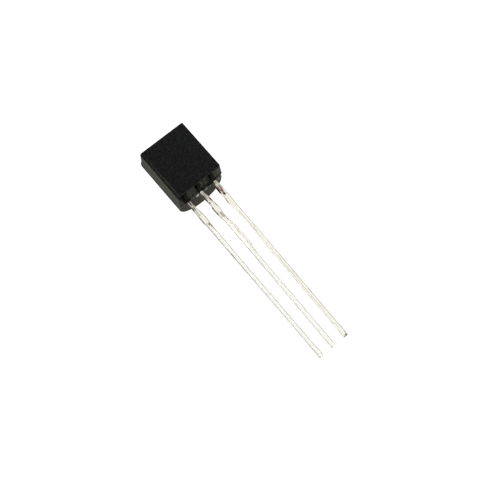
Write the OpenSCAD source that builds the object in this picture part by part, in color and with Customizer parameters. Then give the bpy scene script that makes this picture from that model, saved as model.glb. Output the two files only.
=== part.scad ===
// Small-signal bipolar transistor in a three-lead TO-92 moulded package.
// Millimetres. The part lies at rest on its round back: the rear bottom rim and
// the three lead tips touch the plane Z = 0, and the flat face looks up.
// +X runs from the emitter to the collector, +Y from the lead tips to the top
// of the case, and the origin is under the middle of the whole part.
//
// Every piece is first drawn standing: X across, Y from the flat (-) to the
// round back (+) with Y = 0 in the middle of the lead strip, and Z up with
// Z = 0 at the lowest edge of the moulding. lay() then puts it down.

/* [Case] */
// Width of the rounded rear half, measured at the parting plane
case_w = 3.93; // [3.8:0.01:4.5]
// Width of the front half at the parting plane, where it stands out past the rear half
parting_w = 4.17; // [4.1:0.01:4.7]
// Width of the flat face
flat_w = 4.05; // [3.6:0.01:4.1]
// Overall height of the moulding
case_h = 4.75; // [4.5:0.05:5.2]
// From the flat face to the front of the lead strip, which is the parting plane
front_d = 1.5; // [1.1:0.01:1.6]
// From the parting plane to the back of the round side
rear_d = 2.55; // [2.2:0.01:2.7]
// Sideways offset of the rear mould half from the front one
mould_step = 0.1; // [0:0.01:0.1]
// How far the front half's bottom stays above the rear half's at the parting plane
bottom_lip = 0.1; // [0.05:0.01:0.15]
// Draft of the front half's bottom end, from the parting plane to the flat
bottom_draft = 0.14; // [0.05:0.01:0.2]
// Draft of the front half's top end, from the parting plane to the flat
top_draft = 0.05; // [0.02:0.01:0.2]
// Draft of both ends of the rear half, from the parting plane to the back
rear_draft = 0.03; // [0.01:0.01:0.1]
// Width of the shallow step along the flat's edge on the emitter side
edge_step_w = 0.13; // [0.05:0.01:0.25]
// Depth of that step below the flat
edge_step_d = 0.05; // [0.01:0.01:0.1]
// Width of the foot on the emitter side, at the flat
foot_front = 0.07; // [0.03:0.01:0.3]
// Width of that foot at the parting plane
foot_back = 0.58; // [0.2:0.01:0.6]

/* [Pockets in front of the leads] */
// Width of each blind pocket
pocket_w = 0.53; // [0.45:0.01:0.7]
// Depth of each pocket, up into the case
pocket_h = 0.5; // [0.2:0.05:0.6]
// Sideways lean of the pockets to the emitter side, for each mm towards the flat
pocket_lean = 0.18; // [0:0.01:0.2]
// Wall left between the flat face and a pocket
pocket_front = 0.27; // [0.2:0.01:0.4]
// Skin left between a pocket and the lead behind it
pocket_back = 0.06; // [0.05:0.01:0.15]

/* [Leads] */
// Distance from one lead to the next
lead_pitch = 1.27; // [1.25:0.01:1.3]
// Thickness of the stamped strip
lead_t = 0.38; // [0.36:0.01:0.45]
// Width of a leg
lead_w = 0.38; // [0.36:0.01:0.45]
// Width of the neck where a leg leaves the case
neck_w = 0.31; // [0.28:0.01:0.35]
// Length of the neck below the case
neck_l = 0.55; // [0.4:0.05:0.8]
// Width of the sheared dam-bar stub
stub_w = 0.52; // [0.46:0.01:0.6]
// Start of the stub below the case
stub_z = 1.5; // [1.2:0.05:1.8]
// Length of the stub along the leg
stub_l = 0.72; // [0.5:0.02:0.9]
// Length of the legs below the case
lead_len = 15.15; // [12.7:0.05:15.5]
// Sideways drift of the emitter leg's tip
emitter_drift = -0.1; // [-0.3:0.01:0.3]
// Sideways drift of the base leg's tip
base_drift = -0.21; // [-0.3:0.01:0.3]
// Sideways drift of the collector leg's tip
collector_drift = -0.3; // [-0.3:0.01:0.3]

/* [Chip and wires] */
// Side of the square silicon die
die_w = 0.5; // [0.35:0.05:0.7]
// Thickness of the die
die_t = 0.2; // [0.15:0.01:0.28]
// Thickness of the die-attach film
attach_t = 0.025; // [0.02:0.005:0.05]
// How far the die-attach film stands out round the die
attach_lip = 0.03; // [0.02:0.01:0.05]
// Diameter of the bond wires
wire_d = 0.04; // [0.03:0.005:0.05]
// Height of the wire loops above the lead strip
loop_h = 0.55; // [0.45:0.05:0.7]

/* [Hidden] */

yp = -lead_t / 2;                 // parting plane: the front of the strip
y_flat = yp - front_d;            // flat face
y_back = yp + rear_d;             // back of the round side

// Circle of the round side: it passes the back and the two parting edges.
case_r = (pow(rear_d, 2) + pow(case_w / 2, 2)) / (2 * rear_d);
case_cy = y_back - case_r;

// Rest attitude: the rim at the back of the bottom end and the back edges of
// the three tips lie in one plane.
rest_a = atan2(y_back - lead_t / 2, lead_len + rear_draft);
rest_up = y_back * cos(rest_a) - rear_draft * sin(rest_a);
y_lo = -lead_len * cos(rest_a) - lead_t / 2 * sin(rest_a);
y_hi = max((case_h - rear_draft) * cos(rest_a) + y_back * sin(rest_a),
           case_h * cos(rest_a) + yp * sin(rest_a));
// Side to side, the case is wider than the legs.
x_mid = (-case_r - mould_step + max(case_r - mould_step, parting_w / 2)) / 2;

// Where the chip sits on the flag, and where the wires land.
die_x = 0.2;
die_z = 2.9;
die_front = lead_t / 2 + attach_t + die_t;   // how far the die's face stands before Y = 0
ball_r = wire_d * 1.1;

module lay() {
    translate([-x_mid, -(y_lo + y_hi) / 2, rest_up])
        rotate([rest_a - 90, 0, 0])
            children();
}

// Extrudes an outline drawn in X and Z through the thickness of the strip.
module strip() {
    rotate([90, 0, 0]) linear_extrude(height = lead_t, center = true) children();
}

// Extrudes an outline drawn in Y and Z across the case.
module across() {
    translate([-4, 0, 0]) rotate([90, 0, 90]) linear_extrude(height = 8) children();
}

// ---- Legs and posts -------------------------------------------------------

// One side of a leg, from the tip up to the case: s is -1 left or +1 right.
function leg_side(x, drift, s) = [
    for (p = [[lead_len, lead_w], [stub_z + stub_l + 0.04, lead_w], [stub_z + stub_l, stub_w],
              [stub_z, stub_w], [stub_z - 0.04, lead_w], [neck_l + 0.12, lead_w],
              [neck_l, neck_w], [0, neck_w], [-0.45, neck_w]])
        [x + drift * max(p[0], 0) / lead_len + s * p[1] / 2, -p[0]]
];

function flip(v) = [for (i = [len(v) - 1 : -1 : 0]) v[i]];

// Outline of a lead: the left side going up, the inner post, the right side going down.
module lead(x, drift, post) {
    strip() polygon(concat(leg_side(x, drift, -1), post, flip(leg_side(x, drift, 1))));
}

// The ears lock the strip in the moulding.
ear = 0.32;
ear_lo = 0.5;
ear_hi = 0.8;

// Emitter: ears, a post up the left side, and its bond pad.
xe = -lead_pitch;
emitter_post = [
    [xe - ear, ear_lo], [xe - ear, ear_hi], [xe - 0.2, ear_hi + 0.05], [xe - 0.2, 1.9],
    [xe - 0.38, 2.05], [xe - 0.38, 2.85], [xe - 0.28, 2.95], [xe + 0.38, 2.95],
    [xe + 0.46, 2.87], [xe + 0.46, 2.12], [xe + 0.38, 2.05], [xe + 0.2, 1.9],
    [xe + 0.2, ear_hi + 0.05], [xe + ear, ear_hi], [xe + ear, ear_lo]
];

// Base: ears and a T-shaped head.
base_post = [
    [-ear, ear_lo], [-ear, ear_hi], [-0.5, 0.95], [-0.5, 1.3], [-0.42, 1.4],
    [0.42, 1.4], [0.5, 1.3], [0.5, 0.95], [ear, ear_hi], [ear, ear_lo]
];

// Collector: ears, a short post and the flag that carries the die.
xc = lead_pitch;
collector_post = [
    [xc - ear, ear_lo], [xc - ear, ear_hi], [xc - 0.2, ear_hi + 0.05], [xc - 0.2, 1.6],
    [xc - 0.35, 1.75], [-0.35, 1.75], [-0.5, 1.9], [-0.5, 3.7], [-0.3, 3.9],
    [xc + 0.1, 3.9], [xc + 0.38, 3.6], [xc + 0.38, 1.95], [xc + 0.2, 1.75],
    [xc + 0.2, ear_hi + 0.05], [xc + ear, ear_hi], [xc + ear, ear_lo]
];

module emitter_strip() lead(xe, emitter_drift, emitter_post);
module base_strip() lead(0, base_drift, base_post);
module collector_strip() lead(xc, collector_drift, collector_post);

// ---- Chip -----------------------------------------------------------------

module chip() {
    translate([die_x - die_w / 2, -die_front, die_z - die_w / 2])
        cube([die_w, die_t, die_w]);
}

module film() {
    w = die_w + 2 * attach_lip;
    translate([die_x - w / 2, -lead_t / 2 - attach_t, die_z - w / 2])
        cube([w, attach_t, w]);
}

// ---- Bond wires -----------------------------------------------------------

// A loop lies in the plane of its two ends and the strip's normal. s runs from
// the ball on the die to the crescent on the post, and h is the height above
// the strip's middle plane. The loop rises straight from the ball, bends over
// and comes down to the post.
function bez(a, b, c, d, t) =
    pow(1 - t, 3) * a + 3 * pow(1 - t, 2) * t * b + 3 * (1 - t) * t * t * c + pow(t, 3) * d;

module bond_wire(from, to) {
    run = norm(to - from);
    u = (to - from) / run;
    top = lead_t / 2 + loop_h;
    a = [0, die_front + 0.07];
    b = [-0.02, top + 0.16];
    c = [run * 0.5, top + 0.08];
    d = [run - 0.09, lead_t / 2 + wire_d * 0.9];
    steps = 10;
    // Rings: [s, h, direction in the loop's plane, radius across, radius along].
    ball = [
        [0, die_front, [0, 1], ball_r * 0.9, ball_r * 0.9],
        [0, die_front + 0.012, [0, 1], ball_r, ball_r],
        [0, die_front + 0.036, [0, 1], ball_r * 0.85, ball_r * 0.85],
        [0, die_front + 0.048, [0, 1], wire_d / 2, wire_d / 2]
    ];
    loop = [
        for (i = [0 : steps])
            let (t = i / steps,
                 p = [bez(a[0], b[0], c[0], d[0], t), bez(a[1], b[1], c[1], d[1], t)],
                 q = [bez(a[0], b[0], c[0], d[0], t + 0.01), bez(a[1], b[1], c[1], d[1], t + 0.01)])
            [p[0], p[1], (q - p) / norm(q - p), wire_d / 2, wire_d / 2]
    ];
    foot = [[run, lead_t / 2, [0, -1], wire_d * 0.75, wire_d * 1.3]];
    rings = concat(ball, loop, foot);
    sides = 8;
    // Ring points: one radius goes across the loop's plane and one lies in it.
    pts = [
        for (r = rings) for (k = [0 : sides - 1])
            let (g = 360 / sides * (k + 0.5),
                 n = [r[2][1], -r[2][0]],
                 s = r[0] + n[0] * r[4] * cos(g),
                 h = r[1] + n[1] * r[4] * cos(g),
                 w = r[3] * sin(g))
            [from[0] + u[0] * s - u[1] * w, -h, from[1] + u[1] * s + u[0] * w]
    ];
    last = len(rings) - 1;
    faces = concat(
        [[for (k = [0 : sides - 1]) k]],
        [for (j = [0 : last - 1]) for (k = [0 : sides - 1])
            let (m = (k + 1) % sides)
            [j * sides + k, (j + 1) * sides + k, (j + 1) * sides + m]],
        [for (j = [0 : last - 1]) for (k = [0 : sides - 1])
            let (m = (k + 1) % sides)
            [j * sides + k, (j + 1) * sides + m, j * sides + m]],
        [[for (k = [sides - 1 : -1 : 0]) last * sides + k]]
    );
    polyhedron(points = pts, faces = faces, convexity = 4);
}

module emitter_wire() bond_wire([die_x - 0.1, die_z + 0.04], [xe + 0.06, 2.5]);
module base_wire() bond_wire([die_x + 0.08, die_z - 0.1], [0.06, 1.2]);

// ---- Case -----------------------------------------------------------------

// Round rear half: a disc cut at the parting plane, with drafted ends.
module rear_half() {
    intersection() {
        translate([-mould_step, 0, -1])
            linear_extrude(height = case_h + 2)
                intersection() {
                    translate([0, case_cy]) circle(r = case_r, $fn = 128);
                    translate([-4, yp]) square([8, 6]);
                }
        across() polygon([
            [yp, 0], [y_back + 0.001, rear_draft], [y_back + 0.001, case_h - rear_draft], [yp, case_h]
        ]);
    }
}

// Flat front half: a trapezoid that narrows a little to the flat, with drafted
// ends. The rear mould half is narrower and sits towards the emitter, so the
// front half stands out past it as a ledge, mostly on the collector side.
// A narrower tongue runs into the rear half so that the two are one solid.
module front_half() {
    w = parting_w / 2;
    l = case_w / 2 + mould_step - 0.03;
    r = case_w / 2 - mould_step - 0.05;
    deep = yp + 0.3;
    step_x = edge_step_w - flat_w / 2;
    step_y = y_flat + edge_step_d;
    intersection() {
        translate([0, 0, -1])
            linear_extrude(height = case_h + 2)
                polygon([
                    [-flat_w / 2, step_y], [step_x, step_y], [step_x + edge_step_d / 2, y_flat],
                    [flat_w / 2, y_flat], [w, yp], [r, yp], [r, deep], [-l, deep], [-l, yp], [-w, yp]
                ]);
        across() polygon([
            [y_flat, bottom_lip + bottom_draft], [yp, bottom_lip], [deep, bottom_lip],
            [deep, case_h - 0.04], [yp, case_h - 0.02], [y_flat, case_h - 0.02 - top_draft]
        ]);
    }
}

// Foot at the front half's corner on the emitter side: there the moulding reaches
// as far down as the rear half does. It narrows towards the flat.
module foot() {
    w = parting_w / 2;
    step_y = y_flat + edge_step_d;
    narrow = foot_front + (foot_back - foot_front) * edge_step_d / front_d;
    intersection() {
        linear_extrude(height = 0.6)
            polygon([
                [-flat_w / 2, step_y], [narrow - flat_w / 2, step_y], [foot_back - w, yp],
                [foot_back - w, yp + 0.1], [-case_w / 2, yp + 0.1], [-case_w / 2, yp], [-w, yp]
            ]);
        across() polygon([
            [y_flat, rear_draft], [yp, 0], [yp + 0.1, rear_draft], [yp + 0.1, 0.6], [y_flat, 0.6]
        ]);
    }
}

// Blind pockets that open downwards in front of the three leads.
module pockets() {
    front = y_flat + pocket_front;
    back = yp - pocket_back;
    lean = pocket_lean * (back - front);
    for (x = [-lead_pitch, 0, lead_pitch])
        translate([x, 0, -1])
            linear_extrude(height = 1 + bottom_lip + pocket_h)
                polygon([
                    [-pocket_w / 2, back], [-pocket_w / 2 - lean, front],
                    [pocket_w / 2 - lean, front], [pocket_w / 2, back]
                ]);
}

module case_body() {
    difference() {
        union() {
            rear_half();
            front_half();
            foot();
        }
        pockets();
        emitter_strip();
        base_strip();
        collector_strip();
        film();
        chip();
        emitter_wire();
        base_wire();
    }
}

// ---- Named pieces ---------------------------------------------------------

module case() { color([0.14, 0.145, 0.14]) lay() case_body(); }
module emitter_lead() { color([0.9, 0.89, 0.84]) lay() emitter_strip(); }
module base_lead() { color([0.9, 0.89, 0.84]) lay() base_strip(); }
module collector_lead() { color([0.9, 0.89, 0.82]) lay() collector_strip(); }
module die() { color([0.42, 0.44, 0.5]) lay() chip(); }
module die_attach() { color([0.7, 0.7, 0.68]) lay() film(); }
module emitter_bond_wire() { color([0.9, 0.72, 0.3]) lay() emitter_wire(); }
module base_bond_wire() { color([0.9, 0.72, 0.3]) lay() base_wire(); }

case();
emitter_lead();
base_lead();
collector_lead();
die();
die_attach();
emitter_bond_wire();
base_bond_wire();
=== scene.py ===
"""Looks of a small TO-92 transistor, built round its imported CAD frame.

Every visible piece is first made standing, in millimetres: X across with the
emitter at -X, Y from the flat (-) to the round back (+), and Z up with Z = 0 at
the lowest edge of the moulding. rest() then lays it down as the CAD lies.
"""
import math

import bpy
import numpy as np
from mathutils import Matrix, Vector


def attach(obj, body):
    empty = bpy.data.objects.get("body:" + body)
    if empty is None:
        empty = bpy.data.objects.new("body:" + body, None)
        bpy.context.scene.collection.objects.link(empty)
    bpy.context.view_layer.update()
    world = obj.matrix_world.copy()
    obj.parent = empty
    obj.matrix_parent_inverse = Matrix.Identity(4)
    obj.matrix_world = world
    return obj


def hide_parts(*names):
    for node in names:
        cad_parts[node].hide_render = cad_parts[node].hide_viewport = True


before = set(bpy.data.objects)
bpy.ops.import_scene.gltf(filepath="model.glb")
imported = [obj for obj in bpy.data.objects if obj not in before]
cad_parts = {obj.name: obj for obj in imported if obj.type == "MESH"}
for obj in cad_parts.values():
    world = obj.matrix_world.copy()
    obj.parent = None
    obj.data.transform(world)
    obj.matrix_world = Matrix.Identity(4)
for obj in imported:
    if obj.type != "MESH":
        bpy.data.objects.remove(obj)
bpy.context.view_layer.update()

# ---------------------------------------------------------------- dimensions
CASE_H = 4.75
LEAD_T = 0.38
LEAD_L = 15.15
PITCH = 1.27
Y_PART = -LEAD_T / 2            # parting plane, at the front of the strip
Y_FLAT = Y_PART - 1.5
REAR_D = 2.55
Y_BACK = Y_PART + REAR_D
CASE_W = 3.93                   # rear half at the parting plane
PART = 4.17 / 2                 # front half there
STEP = 0.1                      # the rear mould half sits this far to -X
FLAT_W = 4.05
REAR_DRAFT = 0.03
R_BACK = (REAR_D ** 2 + (CASE_W / 2) ** 2) / (2 * REAR_D)
Y_CENTRE = Y_BACK - R_BACK
X_MID = (-R_BACK - STEP + max(R_BACK - STEP, PART)) / 2

TILT = math.atan2(Y_BACK - LEAD_T / 2, LEAD_L + REAR_DRAFT)
SIN, COS = math.sin(TILT), math.cos(TILT)
UP = Y_BACK * COS - REAR_DRAFT * SIN
Y_LO = -LEAD_L * COS - LEAD_T / 2 * SIN
Y_HI = max((CASE_H - REAR_DRAFT) * COS + Y_BACK * SIN, CASE_H * COS + Y_PART * SIN)


def rest(p):
    """Standing millimetres to the row frame's metres."""
    p = np.asarray(p, float)
    x, y, z = p[:, 0], p[:, 1], p[:, 2]
    return np.stack([x - X_MID, z * COS + y * SIN - (Y_LO + Y_HI) / 2, z * SIN - y * COS + UP], 1) / 1000


# ---------------------------------------------------------------- camera
CAMERA_MM = (-11.54416291, -22.35682617, 59.0058126)
CAMERA_AXES = (
    (0.76618973, 0.6161193, -0.18262067),
    (-0.63668167, 0.6892908, -0.34570891),
    (-0.08711918, 0.38114985, 0.92039939),
)
cam_data = bpy.data.cameras.new("camera")
cam = bpy.data.objects.new("camera", cam_data)
bpy.context.scene.collection.objects.link(cam)
cam_data.sensor_width = 36.0
cam_data.lens = 61.2
m = Matrix.Identity(4)
for r in range(3):
    for c in range(3):
        m[r][c] = CAMERA_AXES[r][c]
    m[r][3] = CAMERA_MM[r] / 1000
cam.matrix_world = m
cam_data.clip_start = 0.002
cam_data.clip_end = 5.0
bpy.context.scene.camera = cam


# ---------------------------------------------------------------- mesh tools
def mesh_object(name, verts, polys, smooth=True):
    """verts in metres; polys is an (n, 4) array or a list of tuples."""
    me = bpy.data.meshes.new(name)
    if isinstance(polys, np.ndarray):
        n, k = polys.shape
        me.vertices.add(len(verts))
        me.vertices.foreach_set("co", np.asarray(verts, np.float32).ravel())
        me.loops.add(n * k)
        me.loops.foreach_set("vertex_index", polys.astype(np.int32).ravel())
        me.polygons.add(n)
        me.polygons.foreach_set("loop_start", np.arange(0, n * k, k, dtype=np.int32))
        me.update(calc_edges=True)
    else:
        me.from_pydata([tuple(v) for v in verts], [], polys)
        me.update(calc_edges=True)
    me.validate()
    if smooth:
        me.polygons.foreach_set("use_smooth", np.ones(len(me.polygons), bool))
    ob = bpy.data.objects.new(name, me)
    bpy.context.scene.collection.objects.link(ob)
    return ob


def steps(*pieces):
    """Grid coordinates: (from, to, step) pieces that follow each other."""
    out = [pieces[0][0]]
    for a, b, s in pieces:
        n = max(1, int(round((b - a) / s)))
        out += list(a + (b - a) * np.arange(1, n + 1) / n)
    return np.array(out)


def surface(f, X, Y, Z, rounds=8):
    """Quad mesh of the surface f = 0 (f < 0 inside) on a rectilinear grid."""
    gx, gy, gz = np.meshgrid(X, Y, Z, indexing="ij")
    d = f(gx, gy, gz)
    ins = d < 0
    count = np.zeros(tuple(n - 1 for n in d.shape), np.int8)
    for i in (0, 1):
        for j in (0, 1):
            for k in (0, 1):
                count += ins[i:count.shape[0] + i, j:count.shape[1] + j, k:count.shape[2] + k]
    act = (count > 0) & (count < 8)
    cell = np.full(act.shape, -1, np.int64)
    ids = np.argwhere(act)
    cell[act] = np.arange(len(ids))
    I, J, K = ids.T
    total = np.zeros((len(ids), 3))
    hits = np.zeros(len(ids))
    corners = [(i, j, k) for i in (0, 1) for j in (0, 1) for k in (0, 1)]
    for a in corners:
        for axis in range(3):
            if a[axis]:
                continue
            b = list(a)
            b[axis] = 1
            da = d[I + a[0], J + a[1], K + a[2]]
            db = d[I + b[0], J + b[1], K + b[2]]
            cross = (da < 0) != (db < 0)
            t = np.where(cross, da / np.where(cross, da - db, 1), 0)
            pa = np.stack([X[I + a[0]], Y[J + a[1]], Z[K + a[2]]], 1)
            pb = np.stack([X[I + b[0]], Y[J + b[1]], Z[K + b[2]]], 1)
            total += np.where(cross[:, None], pa + (pb - pa) * t[:, None], 0)
            hits += cross
    p = total / hits[:, None]
    lo = np.stack([X[I], Y[J], Z[K]], 1)
    hi = np.stack([X[I + 1], Y[J + 1], Z[K + 1]], 1)
    room = (hi - lo) * 0.2
    e = 0.002
    for _ in range(rounds):
        v = f(p[:, 0], p[:, 1], p[:, 2])
        g = np.stack([
            f(p[:, 0] + e, p[:, 1], p[:, 2]) - f(p[:, 0] - e, p[:, 1], p[:, 2]),
            f(p[:, 0], p[:, 1] + e, p[:, 2]) - f(p[:, 0], p[:, 1] - e, p[:, 2]),
            f(p[:, 0], p[:, 1], p[:, 2] + e) - f(p[:, 0], p[:, 1], p[:, 2] - e)], 1) / (2 * e)
        gg = np.maximum((g ** 2).sum(1), 0.25)
        p = np.clip(p - 0.8 * g * (v / gg)[:, None], lo - room, hi + room)
    quads = []
    for axis in range(3):
        # Grid edges along this axis that cross the surface, away from the border.
        a = [slice(None)] * 3
        b = [slice(None)] * 3
        a[axis] = slice(0, -1)
        b[axis] = slice(1, None)
        u, w = (axis + 1) % 3, (axis + 2) % 3
        for s in (a, b):
            s[u] = slice(1, -1)
            s[w] = slice(1, -1)
        sa, sb = ins[tuple(a)], ins[tuple(b)]
        for flip, mask in ((False, sa & ~sb), (True, ~sa & sb)):
            at = np.argwhere(mask)
            at[:, u] += 1
            at[:, w] += 1
            ring = []
            for du, dw in ((-1, -1), (0, -1), (0, 0), (-1, 0)):
                q = at.copy()
                q[:, u] += du
                q[:, w] += dw
                ring.append(cell[q[:, 0], q[:, 1], q[:, 2]])
            if flip:
                ring = ring[::-1]
            quads.append(np.stack(ring, 1))
    return p, np.concatenate(quads)


def rmax(a, b, r):
    """Intersection with an edge of radius r."""
    return np.minimum(np.maximum(a, b), -r) + np.hypot(np.maximum(a + r, 0), np.maximum(b + r, 0))


def rmin(a, b, r):
    return -rmax(-a, -b, r)


def bump(x, a, b, soft):
    """1 between a and b, falling to 0 over soft outside."""
    return np.clip(np.minimum(x - a, b - x) / soft + 1, 0, 1)


def smooth(t):
    t = np.clip(t, 0, 1)
    return t * t * (3 - 2 * t)


def wave(seed, *xs):
    """A slow wobble in -1..1 from fixed sines."""
    rng = np.random.RandomState(seed)
    out = 0
    for k in range(5):
        f = rng.uniform(1.5, 9.0, len(xs))
        out = out + math.sin(1 + k) * np.sin(sum(fi * xi for fi, xi in zip(f, xs)) + rng.uniform(0, 6.28))
    return out / 3.2


# ---------------------------------------------------------------- case
def plane(px, py, nx, ny):
    """Signed distance in X and Y from a wall through (px, py) with that outward normal."""
    n = math.hypot(nx, ny)
    return lambda x, y: ((x - px) * nx + (y - py) * ny) / n


wall_l = plane(-FLAT_W / 2, Y_FLAT, -(Y_PART - Y_FLAT), -(PART - FLAT_W / 2))
wall_r = plane(FLAT_W / 2, Y_FLAT, (Y_PART - Y_FLAT), -(PART - FLAT_W / 2))
POCKETS = (-PITCH, 0.0, PITCH)
POCKET_W, POCKET_TOP = 0.53, 0.60
POCKET_Y = (Y_FLAT + 0.27, Y_PART - 0.06)


def toe_line(y):
    """Left of this line the front half reaches down as far as the rear half."""
    return -1.505 + 0.30 * (y - Y_PART)


def pocket_x(y, c):
    """The pockets lean a little to the left towards the flat."""
    return c + 0.18 * (np.clip(y, POCKET_Y[0], POCKET_Y[1]) - POCKET_Y[1])


def lip_height(x):
    """Height of the step from the front half's bottom to the ridge, which flash partly fills."""
    return 0.10 - 0.055 * bump(x, -0.95, -0.42, 0.15) - 0.03 * bump(x, 1.55, 2.0, 0.2)


def ridge(x, y):
    """How far the moulding's flash, left between the leads, stands below Z = 0."""
    t = np.clip((y - Y_PART) / LEAD_T, 0, 1)
    return (0.042 + 0.010 * wave(3, x * 2.2, y)) * (1 - 0.85 * t) * (1 - smooth((t - 0.9) / 0.1) * 0.3)


def edge_line(z):
    """Where the shallow step down the left margin of the flat starts."""
    return -FLAT_W / 2 + 0.185 + 0.006 * wave(5, z * 1.3)


def edge_depth(z):
    return 0.026 + 0.034 * smooth((4.3 - z) / 3.5)


def case_distance(x, y, z):
    # Front half: drafted walls and ends, and a flat with a shallow step down its left edge.
    f = np.clip((y - Y_FLAT) / (Y_PART - Y_FLAT), 0, 1.4)
    lo = (0.24 - 0.14 * f) * (1 - smooth((toe_line(y) - x) / 0.07 + 0.5)) + 0.008
    hi = 4.68 + 0.05 * f
    d_l, d_r = wall_l(x, y), wall_r(x, y)
    d_b, d_t = (lo - z) * 0.996, z - hi
    down = edge_depth(z) * (1 - smooth((x - edge_line(z) + 0.03) / 0.06))
    d_f = Y_FLAT + down - y
    body = rmax(rmax(d_l, d_t, 0.17), rmax(d_r, d_t, 0.11), 0.02)
    body = rmax(rmax(body, d_f, 0.03), rmax(rmax(d_b, d_f, 0.07), rmax(d_r, d_b, 0.06), 0.02), 0.05)
    tongue = np.maximum(body, np.maximum(np.abs(x + 0.04) - 1.84, y - (Y_PART + 0.3)))
    front = np.minimum(rmax(body, y - Y_PART - 0.006, 0.02), tongue)
    # Rear half: a disc cut at the parting plane, with drafted ends.
    g = (y - Y_PART) / REAR_D
    low = REAR_DRAFT * g - ridge(x, y)
    high = CASE_H - REAR_DRAFT * g
    disc = np.hypot(x + STEP, y - Y_CENTRE) - R_BACK
    rear = rmax(rmax(disc, low - z, 0.06), z - high, 0.06)
    rear = rmax(rear, Y_PART - y, 0.012)
    web = 0.004 + 0.22 * smooth((x - 1.60) / 0.25)          # the two halves blend on the right
    out = rmin(front, rear, web)
    # The step under the front half is filled by flash where lip_height() is small.
    fill = rmax(np.maximum(np.abs(x + 0.05) - 1.95, np.abs(y - Y_PART + 0.03) - 0.05),
                -(z - lip_height(x) + 0.04), 0.02)
    out = rmin(out, np.maximum(fill, z - 0.3), 0.02)
    # Blind pockets in front of the leads.
    for i, c in enumerate(POCKETS):
        px = np.abs(x - pocket_x(y, c)) - POCKET_W / 2
        py = np.abs(y - (POCKET_Y[0] + POCKET_Y[1]) / 2) - (POCKET_Y[1] - POCKET_Y[0]) / 2
        hole = rmax(rmax(px, py, 0.05), z - POCKET_TOP, 0.05)
        out = rmax(out, -hole, 0.03)
    return out


X = steps((-2.26, -1.76, 0.025), (-1.76, -1.62, 0.05), (-1.62, -0.92, 0.03), (-0.92, -0.35, 0.06), (-0.35, 0.35, 0.03),
          (0.35, 0.92, 0.06), (0.92, 1.62, 0.03), (1.62, 1.86, 0.06), (1.86, 2.14, 0.025))
Y = steps((-1.77, -1.33, 0.02), (-1.33, -0.34, 0.06), (-0.34, 0.28, 0.02), (0.28, 2.20, 0.06), (2.20, 2.42, 0.025))
Z = steps((-0.12, 0.70, 0.025), (0.70, 4.56, 0.07), (4.56, 4.82, 0.025))
p, quads = surface(case_distance, X, Y, Z)
case = mesh_object("case_moulding", rest(p), quads)


def blob(px, pz, rx, rz, power=2.0):
    """Soft spot on the bottom face, on the ridge beside the parting plane, for painted highlights."""
    return np.exp(-(((p[:, 0] - px) / rx) ** 2 + ((p[:, 1] - pz) / rz) ** 2) ** (power / 2))


# How smooth and dark the skin is (1 on the flat), with painted shade added in recesses and corners; a painted highlight
# along the step; and pale marks, which are painted light and highlights.
px_, py_, pz_ = p.T
deep = py_ - Y_FLAT
on_step = edge_depth(pz_) * (px_ < edge_line(pz_) + 0.03) * (deep < edge_depth(pz_) + 0.015)      # the shallow step at the left edge
deep = deep - on_step * smooth(deep / 0.03)
# Near the bottom edge the flat's dark skin fades out further down over the rounding: painted shade that softens that
# edge.
near_bottom = smooth((0.45 - pz_) / 0.12) * smooth((px_ - toe_line(py_)) / 0.08 + 0.5)
fade0 = 0.02 + near_bottom * (0.15 + 0.035 * wave(21, px_ * 1.1))
fade1 = 0.08 + near_bottom * (0.20 + 0.05 * wave(22, px_ * 1.3))
fade1 = np.where((px_ < -1.9) & (near_bottom < 0.05), 0.04, fade1)
skin_and_painted_shade = 1 - smooth((deep - fade0) / fade1)
for c in POCKETS:                                             # the pockets are as dark as the flat
    inside = smooth((POCKET_W / 2 + 0.03 - np.abs(px_ - pocket_x(py_, c))) / 0.03) * (py_ > POCKET_Y[0] - 0.03) * (py_ < POCKET_Y[1] + 0.05)
    skin_and_painted_shade = skin_and_painted_shade * (1 - inside * smooth((pz_ - 0.24 + 0.14 * (deep / 1.5)) / 0.05))
# Painted shadow: a dark line down the foot on the left, and in the corner of the step below the front half.
foot_shadow = smooth((px_ - toe_line(py_) + 0.06) / 0.06) * smooth((-1.27 - 0.20 - px_ - 0.18 * (Y_PART - py_)) / 0.05) * (deep < 1.5) * (pz_ < 0.5)
corner = np.exp(-((py_ - Y_PART - 0.01) / 0.15) ** 2) * (pz_ < 0.3) * (1 - 0.95 * bump(px_, -1.02, -0.36, 0.08)) * (px_ > -1.6) * (1 - 0.5 * smooth((px_ - 1.6) / 0.1))
skin_and_painted_shade = np.maximum(skin_and_painted_shade, np.maximum(0.85 * foot_shadow, 0.95 * corner))
for c, w in zip(POCKETS, (0.03, 0.10, 0.20)):                  # the shaded side of each pocket
    left_ = pocket_x(py_, c) - POCKET_W / 2
    shade = bump(px_, left_ - w, left_ + 0.05, 0.05) * smooth((deep - 0.22) / 0.08) * (deep < 1.48) * (pz_ < 0.3)
    skin_and_painted_shade = np.maximum(skin_and_painted_shade, 0.75 * shade)
# Painted highlight: a thin light line along the step down the flat's left edge.
edge_highlight = np.exp(-((px_ - edge_line(pz_) - 0.022) / 0.030) ** 2) * (deep < 0.08)
edge_highlight = edge_highlight * (0.25 + 0.75 * smooth((3.3 - pz_) / 1.2)) * (0.85 + 0.15 * wave(8, pz_ * 2.0)) * smooth((4.55 - pz_) / 0.3)
skin_and_painted_shade = skin_and_painted_shade * (1 - 0.95 * edge_highlight)
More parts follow.
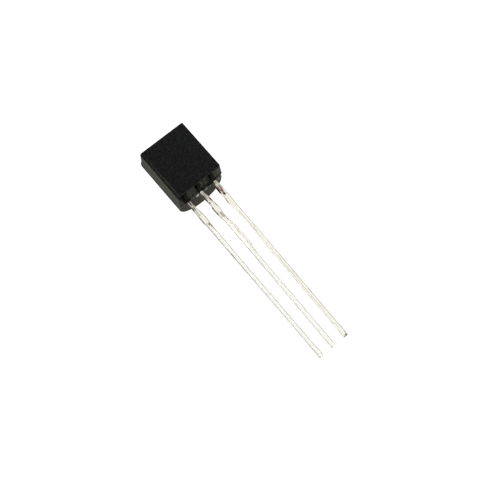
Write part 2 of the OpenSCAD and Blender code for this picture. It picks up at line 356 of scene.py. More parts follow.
# Painted highlights on the flash ridge under the case beside the leads, and a painted lighter band along that ridge.
under = (pz_ < 0.09) * (py_ < Y_PART + 0.8)
pale_and_light = under * (1.0 * blob(-0.40, Y_PART + 0.31, 0.125, 0.26, 4) + 0.40 * blob(0.44, Y_PART + 0.33, 0.11, 0.24) + 0.14 * blob(1.62, Y_PART + 0.30, 0.12, 0.14)
                + 0.035 * np.exp(-((py_ - Y_PART - 0.32) / 0.16) ** 2) + 0.30 * blob(1.55, Y_PART + 0.08, 0.14, 0.09))
# Painted light: the front half's bottom between the emitter and base pockets a little lighter.
pale_and_light = pale_and_light + 0.012 * (pz_ < 0.3) * bump(px_, -1.0, -0.32, 0.10) * (deep > 0.4) * (py_ < Y_PART)
# Painted light: the left wall a little lighter.
pale_and_light = pale_and_light + 0.006 * (px_ < -1.945)
# The line along the flat's left step gets its painted highlight here too, and painted light lifts the shadow in the
# corner of the parting step at the left end.
pale_and_light = pale_and_light + 0.019 * edge_highlight + 0.035 * (px_ < -1.58) * (pz_ < 0.35) * np.exp(-((py_ - Y_PART) / 0.10) ** 2)
# Painted light on the flash-filled step between the emitter and base pockets.
pale_and_light = pale_and_light + 0.04 * (pz_ < 0.3) * bump(px_, -1.0, -0.38, 0.06) * np.exp(-((py_ - Y_PART) / 0.09) ** 2)
# Painted light: the bottom lighter towards the right end.
pale_and_light = pale_and_light + 0.04 * smooth((px_ - 1.45) / 0.25) * (pz_ < 0.35) * smooth((py_ + 1.5) / 0.3)
# Painted light on the walls inside the pockets, lifting their shadow.
for c in POCKETS:
    pale_and_light = pale_and_light + (0.08 if c < 0 else 0.05) * ((np.abs(px_ - pocket_x(py_, c)) < POCKET_W / 2 + 0.02) & (deep > 0.25) & (py_ < Y_PART - 0.03) & (pz_ > 0.26 - 0.14 * deep / 1.5) & (pz_ < 0.7))
for c, w in ((0.0, 0.07), (PITCH, 0.16)):                      # and its lit side
    right_ = pocket_x(py_, c) + POCKET_W / 2
    pale_and_light = pale_and_light + 0.045 * bump(px_, right_ - w, right_ + 0.02, 0.04) * (deep > 0.25) * (py_ < Y_PART - 0.03) * (pz_ > 0.15) * (pz_ < 0.75)
rough = 0.80 - 0.42 * (1 - smooth((deep - 0.005) / 0.025))
at = case.data.attributes.new("tone", "FLOAT_COLOR", "POINT")
at.data.foreach_set("color", np.column_stack([np.clip(skin_and_painted_shade, 0, 1), np.clip(pale_and_light, 0, 1), rough, np.ones(len(p))]).astype(np.float32).ravel())
print("case quads", len(quads))


# ---------------------------------------------------------------- leads
TIN_FACE = (0.99, 0.985, 0.93)
CREAM = (0.93, 0.90, 0.76)
TAUPE = (0.34, 0.31, 0.26)
BROWN = (0.24, 0.17, 0.125)
DARK = (0.05, 0.042, 0.03)
RED = (0.17, 0.05, 0.045)
GREY = (0.50, 0.50, 0.46)
TAN = (0.54, 0.505, 0.37)


def strip_lead(name, x0, drift, post, edges, twist, shift, stains, slant, dark, tones, seed):
    """One lead: the formed leg below the case and the flat post inside it, as one closed mesh.

    edges: rows of (s, left, right), s being the distance below the case and left and right
    the two edges from the leg's centre line. twist and shift: rows of (s, degrees) and
    (s, mm). stains: rows of (s, across, half length, half width, colour, strength).
    dark: painted dark reflection of the case on the left side, from the case down to this s,
    and over that width of the face; painted shade all round the leg down to the third value.
    tones: how light the left side and the right rim are, near the case and further down,
    partly the sheared metal's own grey and partly painted light and shade.
    """
    s = np.arange(0, LEAD_L, 0.06)
    extra = [e[0] + d for e in edges for d in (-0.02, 0.02)]
    s = np.unique(np.round(np.concatenate([s, extra]), 4))
    s = s[(s >= 0) & (s < LEAD_L - 0.07)]
    s = np.concatenate([s[np.append(True, np.diff(s) > 0.012)], LEAD_L - np.array([0.06, 0.035, 0.015, 0.004, 0.0])])
    es = np.array([e[0] for e in edges])
    left = np.interp(s, es, [e[1] for e in edges])
    right = np.interp(s, es, [e[2] for e in edges])
    left = left + 0.008 * wave(seed, s * 0.9) + 0.005 * wave(seed + 1, s * 3.1)
    right = right + 0.008 * wave(seed + 2, s * 0.8) + 0.005 * wave(seed + 3, s * 2.9)
    front = LEAD_T / 2 + 0.006 * wave(seed + 4, s * 1.1) * np.minimum(s, 1)
    turn = np.interp(s, [k[0] for k in twist], [k[1] for k in twist])
    slide = np.interp(s, [k[0] for k in shift], [k[1] for k in shift])
    rows, tags = [], []
    for k, q in enumerate(s):
        end = LEAD_L - q
        inset = 0.05 * (1 - min(end / 0.05, 1)) ** 2          # the cut end is a little smeared over
        w0, w1, y0, y1 = left[k] + inset, right[k] - inset, -front[k] + inset, LEAD_T / 2 - inset * 0.2
        r = 0.055
        pts, tag = [], []

        def arc(cx_, cy_, start, first, last_):
            for j in range(4):
                g = math.radians(start + 30 * j)
                pts.append((cx_ + r * math.cos(g), cy_ + r * math.sin(g)))
                f = j / 3
                tag.append(tuple(a * (1 - f) + b * f for a, b in zip(first, last_)))

        def run(p, q_, n, tg):
            for j in range(1, n + 1):
                f = j / (n + 1)
                pts.append((p[0] + (q_[0] - p[0]) * f, p[1] + (q_[1] - p[1]) * f))
                tag.append(tg)

        # tags: how far a point belongs to the front, right, back and left faces
        F, R, B, L = (1, 0, 0, 0), (0, 1, 0, 0), (0, 0, 1, 0), (0, 0, 0, 1)
        arc(w0 + r, y0 + r, 180, L, F)
        run((w0 + r, y0), (w1 - r, y0), 12, F)
        arc(w1 - r, y0 + r, 270, F, R)
        run((w1, y0 + r), (w1, y1 - r), 3, R)
        arc(w1 - r, y1 - r, 0, R, B)
        run((w1 - r, y1), (w0 + r, y1), 3, B)
        arc(w0 + r, y1 - r, 90, B, L)
        run((w0, y1 - r), (w0, y0 + r), 3, L)
        pts = np.array(pts)
        across_ = pts[:, 0].copy()
        if s[k] > 1.4 and s[k] < 2.3:                          # sheared stub: slightly hollow face
            pts[:, 1] += np.where(np.array(tag)[:, 0] > 0.9, 0.012 * np.cos(pts[:, 0] / 0.26 * 1.5), 0)
        g = math.radians(turn[k])
        c, sn = math.cos(g), math.sin(g)
        rot = np.stack([pts[:, 0] * c - pts[:, 1] * sn, pts[:, 0] * sn + pts[:, 1] * c], 1)
        z = -q + np.where(np.ones(len(pts)), slant * (across_ + 0.19) * max(0, 1 - end / 0.5), 0)
        rows.append(np.stack([rot[:, 0] + x0 + drift * q / LEAD_L + slide[k], rot[:, 1], z], 1))
        tags.append(np.column_stack([np.full(len(pts), q), across_, np.array(tag), pts[:, 1]]))
    m_ = len(rows[0])
    verts = np.concatenate(rows)
    tag = np.concatenate(tags)
    n_rows = len(rows)
    faces = []
    for k in range(n_rows - 1):
        for j in range(m_):
            a, b = k * m_ + j, k * m_ + (j + 1) % m_
            faces.append((a, a + m_, b + m_, b))
    last = (n_rows - 1) * m_
    centre = len(verts)
    verts = np.vstack([verts, verts[last:last + m_].mean(0)])
    tag = np.vstack([tag, [LEAD_L, 0, 0.3, 0, 0, 0, 0]])
    for j in range(m_):
        faces.append((last + j, centre, last + (j + 1) % m_))
    # Post inside the case: a flat plate whose bottom edge is joined to the leg's first ring.
    base = len(verts)
    outline = [(x0 - 0.155, 0.02)] + list(post) + [(x0 + 0.155, 0.02)]
    k = len(outline)
    for y in (-LEAD_T / 2, LEAD_T / 2):
        verts = np.vstack([verts, [(px, y, pz) for px, pz in outline]])
        tag = np.vstack([tag, [(-1, 0, 1, 0, 0, 0, 0)] * k])
    faces.append(tuple(base + j for j in range(k))[::-1])
    faces.append(tuple(base + k + j for j in range(k)))
    for j in range(k - 1):
        faces.append((base + j, base + j + 1, base + k + j + 1, base + k + j))
    corner = [base, base + k - 1, base + 2 * k - 1, base + k]     # front left, front right, back right, back left
    centre0 = verts[:m_, :2].mean(0)
    which = []
    for j in range(m_):
        dx, dy = verts[j, :2] - centre0
        which.append(corner[(0 if dx < 0 else 1) if dy < 0 else (2 if dx >= 0 else 3)])
    for j in range(m_):
        a, b = j, (j + 1) % m_
        ca, cb = which[a], which[b]
        faces.append((a, b, ca) if ca == cb else (a, b, cb, ca))
    ob = mesh_object(name, rest(verts), faces)
    ob.data.set_sharp_from_angle(angle=math.radians(50))
    # Colour and shine per point: bright face, greyer sheared sides, and listed stains.
    q, u = tag[:, 0], tag[:, 1]
    f = tag[:, 2]
    side = np.maximum(tag[:, 3], tag[:, 5])
    col = np.array(TIN_FACE)[None] * np.ones((len(q), 1))
    fade = smooth(side * 1.6) * (0.9 + 0.1 * wave(seed + 5, q * 1.7))
    wear = 1 + 0.2 * wave(seed + 8, q * 2.1)[:, None]            # the sheared sides are tarnished
    low = smooth((q - 5.5) / 4)
    # Where the leg is turned, the face is painted darker and the right side and rim lighter: painted shade and light
    # for how the turned faces meet the light. The side and rim tones are partly the sheared metal's grey and partly
    # painted light and shade.
    turned = np.interp(q, [k[0] for k in twist], [abs(k[1]) for k in twist]) / 38
    on_left = tones[0] * (1 - low) + tones[2] * low
    on_right = (tones[1] * (1 - low) + tones[3] * low) * (1 - turned) + 0.74 * turned
    tint = np.where(tag[:, 5:6] > 0, np.array((1.0, 0.98, 0.88)) * on_left[:, None], np.where(tag[:, 3:4] > 0, 0.80 + 0.10 * turned[:, None], 0.30) * np.array((1.0, 0.99, 0.92)))
    col = col * (1 - fade[:, None]) + tint * wear * fade[:, None]
    mottle = np.clip(0.9 + 0.2 * wave(seed + 6, q * 2.3), 0, 1)
    warm = 1 - smooth((q - 2.2) / 0.8)                            # duller tin where the leg was dipped least
    col = col * (1 - warm[:, None] * np.array((0.02, 0.035, 0.10))) * (1 - 0.15 * turned * f)[:, None]
    rim = (f > 0) * smooth((0.075 - (np.interp(q, s, right) - u)) / 0.045) * mottle
    col = col * (1 - rim[:, None]) + np.array((1.0, 0.98, 0.86)) * (on_right * rim)[:, None]
    rim = f * smooth((0.07 - (u - np.interp(q, s, left))) / 0.05) * 0.6 * mottle
    col = col * (1 - rim[:, None]) + np.array((1.0, 0.98, 0.90)) * (np.minimum(0.9, 0.33 + 0.8 * on_left) * rim)[:, None]
    # Where the leg is turned, painted shade: a thin dark line along each outer edge that is seen.
    rim = (f > 0) * smooth((0.085 - (u - np.interp(q, s, left))) / 0.04) * turned * mottle
    rim = np.maximum(rim, (tag[:, 3] > 0) * smooth((tag[:, 6] - (LEAD_T / 2 - 0.12)) / 0.05) * turned * mottle)
    col = col * (1 - rim[:, None]) + np.array((0.20, 0.19, 0.155)) * rim[:, None]
    shine = 0.10 + 0.10 * smooth(side * 1.5)
    for (s0, u0, ls, lu, c, k) in stains:
        if lu < 0:                                            # on the right side face only
            m = k * tag[:, 3] * np.exp(-(np.abs(q - s0) / ls) ** 4)
        else:
            ragged = 1 + 0.25 * wave(int(s0 * 31) + seed, q * 4.0, u * 9.0)
            m = k * np.clip(1.35 - np.hypot((q - s0) / ls, (u - u0) / lu) * ragged, 0, 1)
            m = smooth(m) * np.clip(f + 0.75 * side, 0, 1) * (q >= 0)
        col = col * (1 - m[:, None]) + np.array(c) * m[:, None]
        shine = shine * (1 - 0.9 * m)
    # Painted dark reflection of the case on the left side, and painted shade all round the leg just below the case.
    edge_l = np.interp(q, s, left)
    back = 0.35 + 0.65 * smooth((0.13 - tag[:, 6]) / 0.18)        # the painted reflection fades towards the back of the leg
    end_ = dark[0] + 0.07 * wave(seed + 9, tag[:, 6] * 13) * (tag[:, 6] > -0.1)
    m = smooth((end_ - q) / 0.18) * np.clip(np.minimum(1.6 * tag[:, 5], 1) * back + f * smooth((edge_l + dark[1] * smooth(q / 0.45) - u) / 0.03), 0, 1)
    m = np.maximum(m, smooth((dark[2] - q) / 0.04))
    col = col * (1 - m[:, None]) + np.array((0.014, 0.012, 0.009)) * m[:, None]
    shine = shine * (1 - m)
    at = ob.data.attributes.new("tone", "FLOAT_COLOR", "POINT")
    at.data.foreach_set("color", np.column_stack([np.clip(col, 0, 1), np.clip(shine, 0, 1)]).astype(np.float32).ravel())
    return ob


xe, xc, EAR = -PITCH, PITCH, 0.32
emitter_post = [(xe - 0.155, 0.5), (xe - EAR, 0.5), (xe - EAR, 0.8), (xe - 0.2, 0.85), (xe - 0.2, 1.9), (xe - 0.33, 2.05), (xe - 0.33, 2.85),
                (xe - 0.28, 2.93), (xe + 0.38, 2.93), (xe + 0.44, 2.87), (xe + 0.44, 2.12), (xe + 0.38, 2.05), (xe + 0.2, 1.9), (xe + 0.2, 0.85),
                (xe + EAR, 0.8), (xe + EAR, 0.5), (xe + 0.155, 0.5)]
base_post = [(-0.155, 0.5), (-EAR, 0.5), (-EAR, 0.8), (-0.5, 0.95), (-0.5, 1.3), (-0.42, 1.38), (0.42, 1.38), (0.5, 1.3), (0.5, 0.95),
             (EAR, 0.8), (EAR, 0.5), (0.155, 0.5)]
collector_post = [(xc - 0.155, 0.5), (xc - EAR, 0.5), (xc - EAR, 0.8), (xc - 0.2, 0.85), (xc - 0.2, 1.6), (xc - 0.35, 1.77), (-0.35, 1.77),
                  (-0.48, 1.9), (-0.48, 3.7), (-0.3, 3.88), (xc + 0.1, 3.88), (xc + 0.36, 3.6), (xc + 0.36, 1.95), (xc + 0.2, 1.77),
                  (xc + 0.2, 0.85), (xc + EAR, 0.8), (xc + EAR, 0.5), (xc + 0.155, 0.5)]

OLIVE = (0.60, 0.59, 0.50)
PALE_TAUPE = (0.58, 0.53, 0.46)

lead_e = strip_lead(
    "emitter_leg", -PITCH, -0.10, emitter_post,
    [(0, -0.15, 0.145), (0.50, -0.155, 0.135), (0.60, -0.16, 0.165), (1.15, -0.17, 0.18), (1.38, -0.17, 0.20), (1.50, -0.185, 0.25), (2.18, -0.185, 0.25),
     (2.26, -0.165, 0.20), (3.0, -0.14, 0.19), (11.5, -0.13, 0.18), (14.2, -0.13, 0.18), (14.7, -0.13, 0.22), (LEAD_L, -0.13, 0.18)],
    [(0, 0), (LEAD_L, 0)], [(0, -0.03), (1.2, 0), (5, 0), (9, 0.014), (LEAD_L, 0.017)],
    [(0.40, -0.01, 0.50, 0.22, PALE_TAUPE, 0.85), (0.40, -0.11, 0.42, 0.035, CREAM, 0.6), (0.25, 0.09, 0.12, 0.045, CREAM, 0.5),
     (0.27, 0.00, 0.19, 0.065, DARK, 1.0), (0.13, 0.00, 0.04, 0.04, RED, 0.9),
     (0.77, -0.01, 0.18, 0.065, DARK, 1.0), (0.77, -0.09, 0.12, 0.03, TAUPE, 0.9), (1.00, 0.09, 0.36, 0.070, TIN_FACE, 1.0),
     (1.13, -0.07, 0.28, 0.10, OLIVE, 0.8), (1.22, 0.18, 0.26, 0.06, BROWN, 1.0), (0.71, 0.165, 0.07, 0.05, RED, 0.9),
     (1.41, -0.06, 0.07, 0.06, TAUPE, 0.9), (1.71, -0.20, 0.16, 0.06, DARK, 0.9), (2.03, -0.20, 0.22, 0.06, DARK, 0.9),
     (1.88, 0.05, 0.10, 0.07, TAN, 0.40), (1.67, 0.03, 0.05, 0.08, TAN, 0.3),
     (2.40, 0.08, 0.16, 0.13, TAUPE, 1.0), (2.60, 0.14, 0.17, 0.08, TAUPE, 0.95), (2.87, 0.15, 0.28, 0.05, TAUPE, 0.8),
     (2.63, -0.13, 0.14, 0.04, TAUPE, 0.8), (3.78, -0.15, 0.06, 0.04, DARK, 0.8), (5.2, -0.14, 0.25, 0.045, BROWN, 0.7),
     (5.6, -0.13, 0.16, 0.04, BROWN, 0.7), (3.8, 0.03, 0.5, 0.09, CREAM, 0.5), (5.25, 0.0, 0.10, 0.10, CREAM, 0.6),
     (4.8, 0.15, 0.10, 0.04, TAUPE, 0.6), (14.3, -0.15, 1.0, 0.03, TAUPE, 0.6), (LEAD_L - 0.06, -0.14, 0.09, 0.07, BROWN, 0.9)],
    0.0, (1.02, 0.06, 0.14), (0.25, 0.21, 0.37, 0.30), 11)
lead_b = strip_lead(
    "base_leg", 0.0, -0.21, base_post,
    [(0, -0.20, 0.08), (0.30, -0.20, 0.09), (0.42, -0.20, 0.14), (0.70, -0.20, 0.18), (1.00, -0.19, 0.185), (1.20, -0.165, 0.185), (1.42, -0.175, 0.21), (1.50, -0.23, 0.225),
     (1.62, -0.235, 0.24), (2.17, -0.215, 0.23), (2.25, -0.18, 0.20), (3.0, -0.16, 0.17), (3.4, -0.185, 0.195), (5.5, -0.19, 0.20), (6.6, -0.13, 0.185), (9.0, -0.125, 0.195), (12.0, -0.145, 0.195), (LEAD_L, -0.145, 0.20)],
    [(0, 0), (2.7, 0), (3.3, -38), (5.5, -38), (6.1, -18), (6.6, 0), (LEAD_L, 0)], [(0, -0.02), (1, 0), (2.7, 0), (3.3, 0.11), (5.5, 0.11), (6.4, 0.015), (7.5, 0.005), (LEAD_L, 0.005)],
    [(0.15, -0.03, 0.12, 0.14, CREAM, 0.7), (0.19, 0.02, 0.05, 0.03, TAUPE, 0.9), (0.55, -0.06, 0.34, 0.14, TAUPE, 0.8),
     (0.71, 0.035, 0.22, 0.04, TIN_FACE, 1.0), (0.47, 0.11, 0.18, 0.05, RED, 0.9), (0.91, 0.10, 0.19, 0.07, RED, 1.0),
     (1.03, 0.16, 0.20, 0.065, DARK, 1.0), (1.29, 0.17, 0.18, 0.06, BROWN, 1.0), (1.47, 0.20, 0.16, 0.06, BROWN, 1.0),
     (1.62, 0.22, 0.08, 0.07, DARK, 0.95), (1.15, -0.12, 0.13, 0.05, BROWN, 0.9), (1.62, -0.23, 0.11, 0.085, DARK, 1.0),
     (1.89, -0.23, 0.22, 0.06, DARK, 1.0), (2.17, -0.22, 0.14, 0.07, DARK, 1.0), (1.85, 0.22, 0.30, 0.025, TAUPE, 0.7),
     (2.33, 0.02, 0.22, 0.08, TAUPE, 1.0), (2.60, 0.04, 0.16, 0.07, TAUPE, 0.9), (2.71, 0.16, 0.40, 0.06, TAUPE, 0.95), (2.95, 0.13, 0.07, 0.04, DARK, 0.8),
     (3.45, -0.15, 0.10, 0.04, TAUPE, 0.7), (3.9, 0.13, 0.9, 0.035, TAN, 0.35), (5.5, 0.12, 0.5, 0.04, TAN, 0.35), (3.0, 0.0, 0.3, 0.09, CREAM, 0.5),
     (13.2, 0.17, 0.10, 0.04, TAN, 0.8), (14.7, -0.15, 0.2, 0.03, TAUPE, 0.6), (LEAD_L - 0.03, -0.13, 0.07, 0.07, BROWN, 0.9)],
    0.28, (1.04, 0.075, 0.03), (0.36, 0.26, 0.47, 0.38), 23)
lead_c = strip_lead(
    "collector_leg", PITCH, -0.30, collector_post,
    [(0, -0.16, 0.13), (0.22, -0.165, 0.135), (0.36, -0.255, 0.165), (0.62, -0.27, 0.185), (1.10, -0.25, 0.19), (1.40, -0.20, 0.20), (1.48, -0.225, 0.22), (2.12, -0.22, 0.20),
     (2.22, -0.20, 0.18), (2.9, -0.17, 0.17), (3.4, -0.115, 0.16), (4.6, -0.115, 0.16), (5.3, -0.16, 0.17), (LEAD_L, -0.155, 0.18)],
    [(0, 0), (LEAD_L, 0)], [(0, -0.01), (1.2, -0.03), (2.0, -0.05), (3.2, 0), (LEAD_L, 0)],
    [(0.17, 0.00, 0.22, 0.20, PALE_TAUPE, 0.9), (0.15, 0.06, 0.12, 0.05, CREAM, 0.4), (0.67, -0.07, 0.30, 0.13, OLIVE, 0.8),
     (0.65, 0.11, 0.36, 0.06, OLIVE, 0.8), (0.55, 0.17, 0.40, 0.03, TAUPE, 0.9), (0.65, -0.155, 0.27, 0.05, RED, 1.0),
     (0.67, 0.015, 0.30, 0.05, RED, 1.0), (0.93, -0.05, 0.15, 0.13, RED, 0.95), (1.03, 0.00, 0.12, 0.06, RED, 1.0), (1.25, -0.05, 0.18, 0.12, DARK, 1.0),
     (1.10, 0.10, 0.20, 0.05, TIN_FACE, 0.9), (1.80, -0.23, 0.36, 0.05, BROWN, 0.95), (1.9, 0.05, 0.5, 0.2, CREAM, 0.4),
     (1.60, -0.02, 0.08, 0.05, TAN, 0.4), (2.0, 0.02, 0.12, 0.05, TAN, 0.4), (2.5, 0.03, 0.16, 0.06, TAN, 0.4),
     (3.30, -0.07, 0.10, 0.05, TAN, 0.7), (4.9, -0.02, 0.30, 0.05, TAN, 0.7), (6.2, -0.05, 0.12, 0.05, TAN, 0.7), (4.2, 0.04, 2.2, 0.07, CREAM, 0.5),
     (9.5, -0.045, 5.6, 0.034, TAN, 0.75), (4.4, -0.07, 2.0, 0.060, TAN, 0.5), (10.5, 0.05, 5.0, 0.07, CREAM, 0.6), (12.4, -0.03, 0.5, 0.035, TAN, 0.5), (14.2, -0.03, 0.5, 0.04, TAN, 0.6),
     (LEAD_L - 0.05, -0.11, 0.06, 0.06, BROWN, 0.95), (LEAD_L - 0.08, 0.05, 0.10, 0.10, BROWN, 1.0), (LEAD_L - 0.03, 0.05, 0.05, 0.06, DARK, 0.7)],
    0.0, (1.20, 0.085, 0.03), (0.64, 0.15, 0.56, 0.10), 37)


# ---------------------------------------------------------------- materials
def material(name):
    mat = bpy.data.materials.new(name)
    mat.use_nodes = True
    nt = mat.node_tree
    return mat, nt, nt.nodes["Principled BSDF"]


def noise(nt, coord, scale, detail=3.0, rough=0.5):
    n = nt.nodes.new("ShaderNodeTexNoise")
    n.inputs["Scale"].default_value = scale
    n.inputs["Detail"].default_value = detail
    n.inputs["Roughness"].default_value = rough
    nt.links.new(coord, n.inputs["Vector"])
    return n.outputs["Fac"]


def ramp(nt, fac, stops):
    n = nt.nodes.new("ShaderNodeValToRGB")
    els = n.color_ramp.elements
    while len(els) < len(stops):
        els.new(0.5)
    for e, (pos, col) in zip(els, stops):
        e.position = pos
        e.color = col if len(col) == 4 else (*col, 1)
    nt.links.new(fac, n.inputs["Fac"])
    return n.outputs["Color"]


def maprange(nt, fac, a, b, c, d):
    n = nt.nodes.new("ShaderNodeMapRange")
    for k, v in zip(("From Min", "From Max", "To Min", "To Max"), (a, b, c, d)):
        n.inputs[k].default_value = v
    nt.links.new(fac, n.inputs["Value"])
    return n.outputs["Result"]


def bumped(nt, height, strength, distance, normal=None):
    n = nt.nodes.new("ShaderNodeBump")
    n.inputs["Strength"].default_value = strength
    n.inputs["Distance"].default_value = distance
    nt.links.new(height, n.inputs["Height"])
    if normal is not None:
        nt.links.new(normal, n.inputs["Normal"])
    return n.outputs["Normal"]


def object_coord(nt):
    return nt.nodes.new("ShaderNodeTexCoord").outputs["Object"]


def mixed(nt, factor, a, b):
    n = nt.nodes.new("ShaderNodeMix")
    n.data_type = "RGBA"
    nt.links.new(factor, n.inputs["Factor"])
    nt.links.new(a, n.inputs[6])
    if isinstance(b, tuple):
        n.inputs[7].default_value = (*b, 1)
    else:
        nt.links.new(b, n.inputs[7])
    return n.outputs[2]


def epoxy(name, painted):
    """Moulded black epoxy: grainy olive-black sides, and a smoother, darker flat."""
    mat, nt, bsdf = material(name)
    co = object_coord(nt)
    if painted:
        tone = nt.nodes.new("ShaderNodeAttribute")
        tone.attribute_name = "tone"
        split = nt.nodes.new("ShaderNodeSeparateColor")
        nt.links.new(tone.outputs["Color"], split.inputs[0])
        flat_skin_and_shade, pale_and_light, rough = split.outputs
    else:
        dot = nt.nodes.new("ShaderNodeVectorMath")
        dot.operation = "DOT_PRODUCT"
        dot.inputs[1].default_value = (0.0, -SIN, COS)
        nt.links.new(co, dot.inputs[0])
        at_flat = float(rest([[0, Y_FLAT, 0]])[0] @ np.array([0, -SIN, COS]))
        flat_skin_and_shade, pale_and_light = maprange(nt, dot.outputs["Value"], at_flat - 0.00018, at_flat - 0.00009, 0, 1), None
        rough = maprange(nt, flat_skin_and_shade, 0, 1, 0.80, 0.38)
    fine = noise(nt, co, 8000, 3, 0.6)
    coarse = noise(nt, co, 7000, 3, 0.6)
    side = ramp(nt, fine, [(0.35, (0.0062, 0.0064, 0.0040)), (0.50, (0.0205, 0.0210, 0.0133)), (0.65, (0.049, 0.050, 0.0345))])
    flat = ramp(nt, coarse, [(0.42, (0.0001, 0.0002, 0.0005)), (0.60, (0.0074, 0.0077, 0.0078))])
    # The first mix takes the flat's dark skin and, on the painted case, painted shade; the pale mix after it adds
    # painted light and highlights.
    colour = mixed(nt, flat_skin_and_shade, side, flat)
    if pale_and_light is not None:
        colour = mixed(nt, pale_and_light, colour, (0.62, 0.60, 0.50))
    nt.links.new(colour, bsdf.inputs["Base Color"])
    nt.links.new(rough, bsdf.inputs["Roughness"])
    bsdf.inputs["Specular IOR Level"].default_value = 0.13
    grain = nt.nodes.new("ShaderNodeMath")
    grain.operation = "MULTIPLY"
    nt.links.new(fine, grain.inputs[0])
    nt.links.new(maprange(nt, flat_skin_and_shade, 0, 1, 1.0, 0.22), grain.inputs[1])
    nt.links.new(bumped(nt, grain.outputs[0], 1.0, 0.00002), bsdf.inputs["Normal"])
    return mat


def tin():
    """Tin plate: the colour and the share of mirror come from the mesh, with fine streaks along the leg."""
    mat, nt, bsdf = material("tin")
    co = object_coord(nt)
    along = nt.nodes.new("ShaderNodeMapping")
    along.inputs["Scale"].default_value = (1.0, 0.22, 1.0)
    nt.links.new(co, along.inputs["Vector"])
    streak = noise(nt, along.outputs["Vector"], 9000, 3, 0.6)
    fine = noise(nt, co, 7500, 3, 0.6)
    tone = nt.nodes.new("ShaderNodeAttribute")
    tone.attribute_name = "tone"
    first = mixed(nt, tone.outputs["Alpha"], ramp(nt, fine, [(0.36, (0.93, 0.92, 0.89)), (0.46, (1, 1, 1))]), (0.9, 0.9, 0.9))
    second = ramp(nt, streak, [(0.34, (0.86, 0.84, 0.79)), (0.44, (1, 1, 1))])
    colour = tone.outputs["Color"]
    for speck in (first, second):
        mix = nt.nodes.new("ShaderNodeMix")
        mix.data_type = "RGBA"
        mix.blend_type = "MULTIPLY"
        mix.inputs["Factor"].default_value = 1.0
        nt.links.new(colour, mix.inputs[6])
        nt.links.new(speck, mix.inputs[7])
        colour = mix.outputs[2]
    nt.links.new(colour, bsdf.inputs["Base Color"])
    nt.links.new(tone.outputs["Alpha"], bsdf.inputs["Metallic"])
    nt.links.new(maprange(nt, tone.outputs["Alpha"], 0.1, 0.9, 0.45, 0.2), bsdf.inputs["Roughness"])
    bsdf.inputs["Specular IOR Level"].default_value = 0.0
    nt.links.new(bumped(nt, streak, 0.4, 0.00001), bsdf.inputs["Normal"])
    return mat


def plain_tin():
    return simple("tin_inside", (0.70, 0.70, 0.66), (0.85, 0.85, 0.80), 5000, 0.8, 0.35, 0.5)


def simple(name, a, b, scale, metallic, rough0, rough1):
    mat, nt, bsdf = material(name)
    co = object_coord(nt)
    f = noise(nt, co, scale, 3)
    nt.links.new(ramp(nt, f, [(0.35, a), (0.65, b)]), bsdf.inputs["Base Color"])
    bsdf.inputs["Metallic"].default_value = metallic
    nt.links.new(maprange(nt, f, 0.3, 0.7, rough0, rough1), bsdf.inputs["Roughness"])
    nt.links.new(bumped(nt, f, 0.2, 0.000004), bsdf.inputs["Normal"])
    return mat


EPOXY, EPOXY_CAD, TIN, TIN_INSIDE = epoxy("epoxy", True), epoxy("epoxy_plain", False), tin(), plain_tin()
SILICON = simple("silicon", (0.10, 0.11, 0.14), (0.16, 0.17, 0.21), 9000, 0.6, 0.12, 0.25)
SOLDER = simple("solder", (0.42, 0.42, 0.40), (0.60, 0.60, 0.57), 14000, 0.9, 0.35, 0.6)
GOLD = simple("gold", (0.90, 0.62, 0.22), (0.98, 0.74, 0.34), 20000, 1.0, 0.15, 0.3)

case.data.materials.append(EPOXY)
for ob in (lead_e, lead_b, lead_c):
    ob.data.materials.append(TIN)
for node, mat in (("die", SILICON), ("die_attach", SOLDER), ("emitter_bond_wire", GOLD), ("base_bond_wire", GOLD),
                  ("case", EPOXY_CAD), ("emitter_lead", TIN_INSIDE), ("base_lead", TIN_INSIDE), ("collector_lead", TIN_INSIDE)):
    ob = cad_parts[node]
    ob.data.materials.clear()
    ob.data.materials.append(mat)

for ob, node, slot in ((case, "case", "epoxy"), (lead_e, "emitter_lead", "tinned_lead"), (lead_b, "base_lead", "tinned_lead"),
                       (lead_c, "collector_lead", "tinned_lead")):
    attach(ob, "root")
    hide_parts(node)

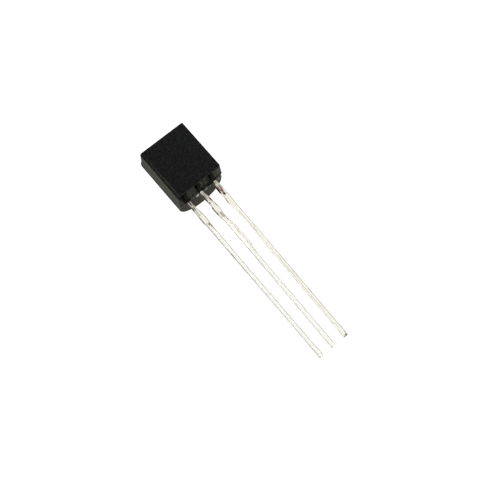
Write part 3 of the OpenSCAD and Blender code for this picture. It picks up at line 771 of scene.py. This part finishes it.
# ---------------------------------------------------------------- floor and light
floor_me = bpy.data.meshes.new("floor")
S = 0.6
floor_me.from_pydata([(-S, -S, 0), (S, -S, 0), (S, S, 0), (-S, S, 0)], [], [(0, 1, 2, 3)])
floor = bpy.data.objects.new("floor", floor_me)
bpy.context.scene.collection.objects.link(floor)
mat, nt, bsdf = material("floor")
bsdf.inputs["Base Color"].default_value = (0.12, 0.12, 0.12, 1)
bsdf.inputs["Roughness"].default_value = 0.9
bsdf.inputs["Specular IOR Level"].default_value = 0.1
bsdf.inputs["Emission Color"].default_value = (1, 1, 1, 1)
bsdf.inputs["Emission Strength"].default_value = 1.0
floor_me.materials.append(mat)

world = bpy.data.worlds.new("world")
bpy.context.scene.world = world
world.use_nodes = True
wn = world.node_tree
tc = wn.nodes.new("ShaderNodeTexCoord")
sep = wn.nodes.new("ShaderNodeSeparateXYZ")
wn.links.new(tc.outputs["Generated"], sep.inputs[0])
wr = wn.nodes.new("ShaderNodeValToRGB")
els = wr.color_ramp.elements
els[0].position, els[0].color = 0.0, (0.9, 0.9, 0.9, 1)
els[1].position, els[1].color = 1.0, (0.02, 0.02, 0.022, 1)
for at_, v in ((0.12, 0.55), (0.26, 0.10), (0.40, 0.02)):
    e = els.new(at_)
    e.color = (v, v, v * 1.02, 1)
wn.links.new(sep.outputs["Z"], wr.inputs["Fac"])
bg = wn.nodes["Background"]
wn.links.new(wr.outputs["Color"], bg.inputs["Color"])
bg.inputs["Strength"].default_value = 1.0


def soft_box(name, azimuth, elevation, distance, width, height, radiance):
    """A rectangular soft light that looks at the part from that direction (degrees, metres)."""
    li = bpy.data.lights.new(name, "AREA")
    li.shape = "RECTANGLE"
    li.size, li.size_y = width, height
    li.energy = radiance * 4 * width * height
    ob = bpy.data.objects.new(name, li)
    bpy.context.scene.collection.objects.link(ob)
    a_, e_ = math.radians(azimuth), math.radians(elevation)
    d = Vector((math.cos(e_) * math.cos(a_), math.cos(e_) * math.sin(a_), math.sin(e_)))
    ob.location = d * distance
    ob.rotation_mode = "QUATERNION"
    ob.rotation_quaternion = (-d).to_track_quat("-Z", "Y")
    return ob


soft_box("left_box", 196, 27, 0.30, 0.50, 0.19, 3.05)
soft_box("key_box", 22, 40, 0.30, 0.42, 0.16, 3.6)
soft_box("top_left_box", 180, 62, 0.30, 0.30, 0.15, 0.6)

bpy.context.scene.view_settings.view_transform = "Standard"
bpy.context.scene.view_settings.look = "None"
bpy.context.scene.view_settings.exposure = 0.0
bpy.context.scene.view_settings.gamma = 1.0
